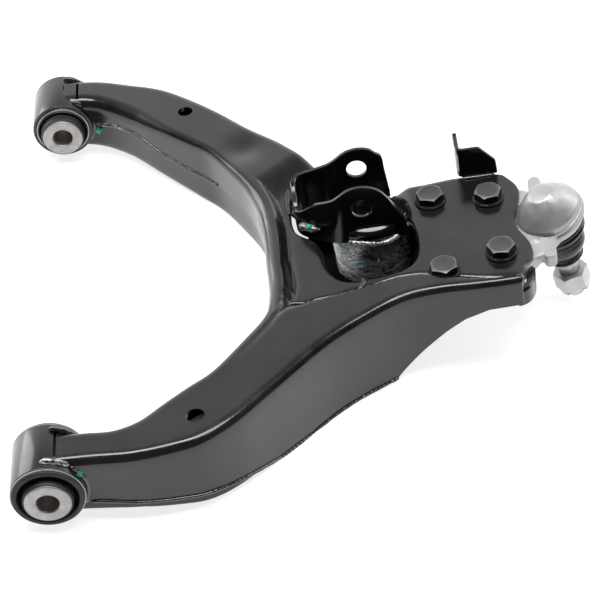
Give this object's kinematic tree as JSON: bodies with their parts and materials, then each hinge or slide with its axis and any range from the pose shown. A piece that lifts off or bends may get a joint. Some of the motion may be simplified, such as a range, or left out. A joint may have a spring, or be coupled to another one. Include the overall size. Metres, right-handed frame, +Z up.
{
  "type": "lower control arm",
  "caption": "A-shaped pressed steel lower suspension arm with two rubber pivot bushes, a shock absorber clevis over a cup, and a bolted-on ball joint with boot and castle nut.",
  "frame": {"origin": "centre of the rear bush, on the pivot axis", "axes": "+X outboard to the ball joint, +Y forward along the pivot axis to the front bush, +Z up, with the bolt heads and the ball joint cover on top"},
  "size_m": [0.3928, 0.445, 0.113],
  "materials": {
    "arm_paint": "gloss black electrophoretic paint over pressed steel",
    "eye_paint": "gloss black paint over drawn steel tube",
    "bracket_paint": "gloss black paint over pressed steel",
    "bush_can": "drawn steel, pressed in",
    "bush_rubber": "matt moulded natural rubber",
    "sleeve_steel": "turned and phosphated steel, bright end faces",
    "cast_silver": "silver-white coated forging, fine grain",
    "cover_steel": "silver-white coated pressed steel",
    "bearing_plastic": "acetal bearing seat",
    "spring_steel": "hardened spring steel",
    "stud_steel": "turned and hardened steel",
    "nut_zinc": "zinc-plated steel",
    "boot_rubber": "smooth moulded chloroprene rubber",
    "wire_black": "blackened steel wire",
    "bolt_steel": "phosphated steel with worn edges"
  },
  "bodies": {
    "arm": {"upper_shell": "arm_paint", "lower_shell": "arm_paint", "rear_eye": "eye_paint", "front_eye": "eye_paint", "rear_bush_can": "bush_can", "front_bush_can": "bush_can", "rear_bush_rubber": "bush_rubber", "front_bush_rubber": "bush_rubber", "shock_bracket": "bracket_paint", "hose_bracket": "bracket_paint", "ball_joint_housing": "cast_silver", "ball_joint_cover": "cover_steel", "upper_bearing_seat": "bearing_plastic", "lower_bearing_seat": "bearing_plastic", "preload_spring": "spring_steel", "boot_clamp_ring": "wire_black", "boot_upper_fold": "boot_rubber", "flange_bolts": "bolt_steel", "bolt_washers": "bolt_steel", "flange_nuts": "bolt_steel"},
    "rear_sleeve": {"rear_inner_sleeve": "sleeve_steel"},
    "front_sleeve": {"front_inner_sleeve": "sleeve_steel"},
    "boot_middle": {"boot_waist": "boot_rubber", "boot_lower_fold": "boot_rubber"},
    "boot_end": {"boot_lip": "boot_rubber", "boot_lip_ring": "wire_black"},
    "stud": {"ball_stud": "stud_steel", "castle_nut": "nut_zinc"}
  },
  "joints": [
    {"name": "rear_bush_twist", "type": "hinge", "parent": "arm", "child": "rear_sleeve", "pos_m": [0, 0, 0], "axis": [0, 1, 0], "range_deg": [-22, 22], "stiffness_Nm_per_rad": 45},
    {"name": "front_bush_twist", "type": "hinge", "parent": "arm", "child": "front_sleeve", "pos_m": [0, 0.388, 0], "axis": [0, 1, 0], "range_deg": [-22, 22], "stiffness_Nm_per_rad": 45},
    {"name": "stud_swing", "type": "hinge", "parent": "arm", "child": "boot_middle", "pos_m": [0.3444, 0.177, 0.0082], "axis": [0, 1, 0], "range_deg": [-28, 10], "deforming": ["boot_upper_fold"]},
    {"name": "stud_rock", "type": "hinge", "parent": "boot_middle", "child": "boot_end", "pos_m": [0.3444, 0.177, 0.0082], "axis": [1, 0, 0], "range_deg": [-8, 18], "deforming": ["boot_lower_fold"]},
    {"name": "stud_spin", "type": "hinge", "parent": "boot_end", "child": "stud", "pos_m": [0.3444, 0.177, 0.0082], "axis": [-0.1908, 0, 0.9816], "continuous": true}
  ],
  "couplings": [
    {"joint": "front_bush_twist", "follows": "rear_bush_twist", "ratio": 1}
  ]
}
